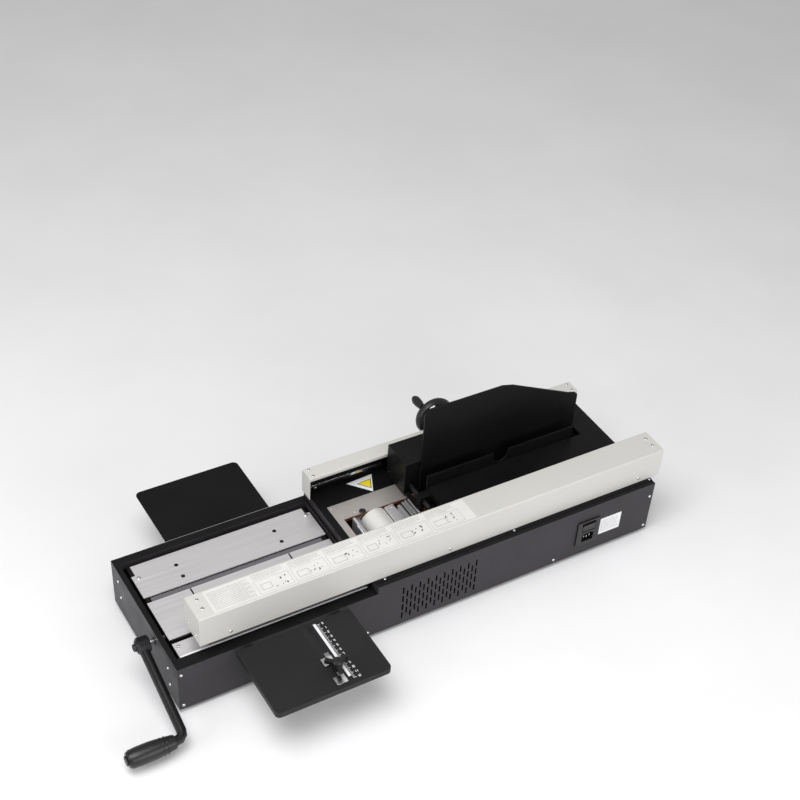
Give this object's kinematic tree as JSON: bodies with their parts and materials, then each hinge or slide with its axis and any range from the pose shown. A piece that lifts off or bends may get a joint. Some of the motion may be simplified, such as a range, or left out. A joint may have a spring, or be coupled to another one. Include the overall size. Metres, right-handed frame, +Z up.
{
  "type": "desktop perfect binding machine",
  "caption": "Hot-melt book binder: sliding clamp carriage on covered rails, glue roller and spine cutter, and a crank-lifted nip table with cover wings.",
  "frame": {"origin": "centre of the bounding box at the floor, under the feet", "axes": "+X along the machine, from the crank end to the clamp end; +Y away from the operator; +Z up"},
  "size_m": [1.0356, 0.5364, 0.296],
  "materials": {
    "black_paint": "fine powder coat",
    "light_paint": "satin",
    "stainless": "brushed",
    "bright_steel": "polished",
    "cast_aluminium": "as cast",
    "rubber": "matte",
    "black_plastic": "moulded satin",
    "phenolic": "satin",
    "coated_drum": "glossy coating",
    "brass": "satin",
    "circuit_board": "satin"
  },
  "bodies": {
    "machine_body": {"body_shell": "black_paint", "base_plate": "black_paint", "foot_front_left": "rubber", "foot_front_right": "rubber", "foot_rear_left": "rubber", "foot_rear_right": "rubber", "front_rail_cover": "light_paint", "rear_rail_cover": "light_paint", "front_guide_rod": "bright_steel", "rod_bracket_left": "cast_aluminium", "rod_bracket_right": "cast_aluminium", "cover_support_strip": "black_paint", "rear_rail_wall": "black_paint", "rear_guide_rail": "bright_steel", "front_nip_strip": "stainless", "glue_cover_plate": "stainless", "glue_frame": "phenolic", "glue_tank": "cast_aluminium", "heater_plate": "brass", "glue_motor": "cast_aluminium", "scraper_bar": "stainless", "wiper_bar": "stainless", "milling_motor": "cast_aluminium", "rear_wing": "black_paint", "front_wing": "black_paint", "rear_wing_bracket": "black_paint", "front_wing_bracket": "black_paint", "power_inlet": "black_plastic", "control_board": "circuit_board"},
    "carriage": {"carriage_deck": "black_paint", "slide_bearing_left": "cast_aluminium", "slide_bearing_right": "cast_aluminium", "rear_jaw": "black_paint", "clamp_drive_box": "black_paint", "clamp_end_cover": "black_paint", "jaw_guide_rod": "bright_steel", "drive_belt": "rubber"},
    "front_jaw": {"front_jaw": "black_paint"},
    "handwheel": {"handwheel": "black_plastic"},
    "handwheel_grip": {"handwheel_grip": "black_plastic"},
    "clamp_spindle": {"clamp_spindle": "bright_steel"},
    "support_roller": {"support_roller": "black_plastic"},
    "crank": {"crank_shaft": "bright_steel", "crank_arm": "black_paint"},
    "crank_grip": {"crank_grip": "black_plastic"},
    "nip_table": {"nip_table": "black_paint", "rear_nip_plate": "stainless", "spine_platen": "cast_aluminium"},
    "front_nip": {"front_nip_slider": "bright_steel", "front_nip_plate_left": "stainless", "front_nip_plate_centre": "stainless", "front_nip_plate_right": "stainless"},
    "glue_roller": {"glue_roller": "coated_drum", "roller_gear": "brass"},
    "motor_pinion": {"motor_pinion": "bright_steel"},
    "milling_cutter": {"milling_cutter": "bright_steel"},
    "scraper_knob": {"scraper_knob": "black_plastic"},
    "guide_slider": {"guide_slider": "stainless"},
    "guide_knob": {"guide_knob": "black_plastic"},
    "switch_rocker": {"switch_rocker": "black_plastic"}
  },
  "joints": [
    {"name": "carriage_slide", "type": "slide", "parent": "machine_body", "child": "carriage", "axis": [-1, 0, 0], "range_m": [0, 0.48]},
    {"name": "support_roller_spin", "type": "hinge", "parent": "carriage", "child": "support_roller", "pos_m": [0.44775, 0.11525, 0.1463], "axis": [0, 1, 0], "continuous": true},
    {"name": "handwheel_turn", "type": "hinge", "parent": "carriage", "child": "handwheel", "pos_m": [0.20175, 0.14125, 0.175], "axis": [0, 1, 0], "range_deg": [-940, 1516]},
    {"name": "jaw_slide", "type": "slide", "parent": "carriage", "child": "front_jaw", "axis": [0, 1, 0], "range_m": [-0.013, 0.021]},
    {"name": "spindle_turn", "type": "hinge", "parent": "carriage", "child": "clamp_spindle", "pos_m": [0.09875, 0.02525, 0.134], "axis": [0, 1, 0], "range_deg": [-940, 1516]},
    {"name": "handwheel_grip_spin", "type": "hinge", "parent": "handwheel", "child": "handwheel_grip", "pos_m": [0.18025, 0.16525, 0.1965], "axis": [0, 1, 0], "continuous": true},
    {"name": "crank_turn", "type": "hinge", "parent": "machine_body", "child": "crank", "pos_m": [-0.40425, -0.03615, 0.08], "axis": [-1, 0, 0], "range_deg": [0, 150]},
    {"name": "crank_grip_spin", "type": "hinge", "parent": "crank", "child": "crank_grip", "pos_m": [-0.47425, -0.18975, 0.026], "axis": [1, 0, 0], "continuous": true},
    {"name": "nip_table_lift", "type": "slide", "parent": "machine_body", "child": "nip_table", "axis": [0, 0, 1], "range_m": [0, 0.0202]},
    {"name": "nip_close", "type": "slide", "parent": "nip_table", "child": "front_nip", "axis": [0, 1, 0], "range_m": [0, 0.0112]},
    {"name": "glue_roller_spin", "type": "hinge", "parent": "machine_body", "child": "glue_roller", "pos_m": [0.02375, 0.01425, 0.093], "axis": [0, 1, 0], "continuous": true},
    {"name": "motor_pinion_spin", "type": "hinge", "parent": "machine_body", "child": "motor_pinion", "pos_m": [0.02375, 0.05025, 0.064], "axis": [0, 1, 0], "continuous": true},
    {"name": "milling_cutter_spin", "type": "hinge", "parent": "machine_body", "child": "milling_cutter", "pos_m": [0.08375, 0.01525, 0.0965], "axis": [0, 1, 0], "continuous": true},
    {"name": "scraper_knob_turn", "type": "hinge", "parent": "machine_body", "child": "scraper_knob", "pos_m": [0.00375, 0.04175, 0.117], "axis": [0, 0, 1], "range_deg": [0, 330]},
    {"name": "guide_slide", "type": "slide", "parent": "machine_body", "child": "guide_slider", "axis": [0, 1, 0], "range_m": [0, 0.065]},
    {"name": "guide_knob_turn", "type": "hinge", "parent": "guide_slider", "child": "guide_knob", "pos_m": [-0.18925, -0.23075, 0.103], "axis": [0, 0, 1], "range_deg": [0, 540]},
    {"name": "switch_rock", "type": "hinge", "parent": "machine_body", "child": "switch_rocker", "pos_m": [0.36175, -0.12225, 0.071], "axis": [-1, 0, 0], "range_deg": [0, 12]}
  ],
  "couplings": [
    {"joint": "support_roller_spin", "follows": "carriage_slide", "rad_per_m": -142.86},
    {"joint": "handwheel_turn", "follows": "jaw_slide", "rad_per_m": 1256.6},
    {"joint": "spindle_turn", "follows": "jaw_slide", "rad_per_m": 1256.6},
    {"joint": "nip_table_lift", "follows": "crank_turn", "m_per_rad": 0.0076394},
    {"joint": "nip_close", "follows": "crank_turn", "m_per_rad": 0.0042017},
    {"joint": "motor_pinion_spin", "follows": "glue_roller_spin", "ratio": -2}
  ]
}
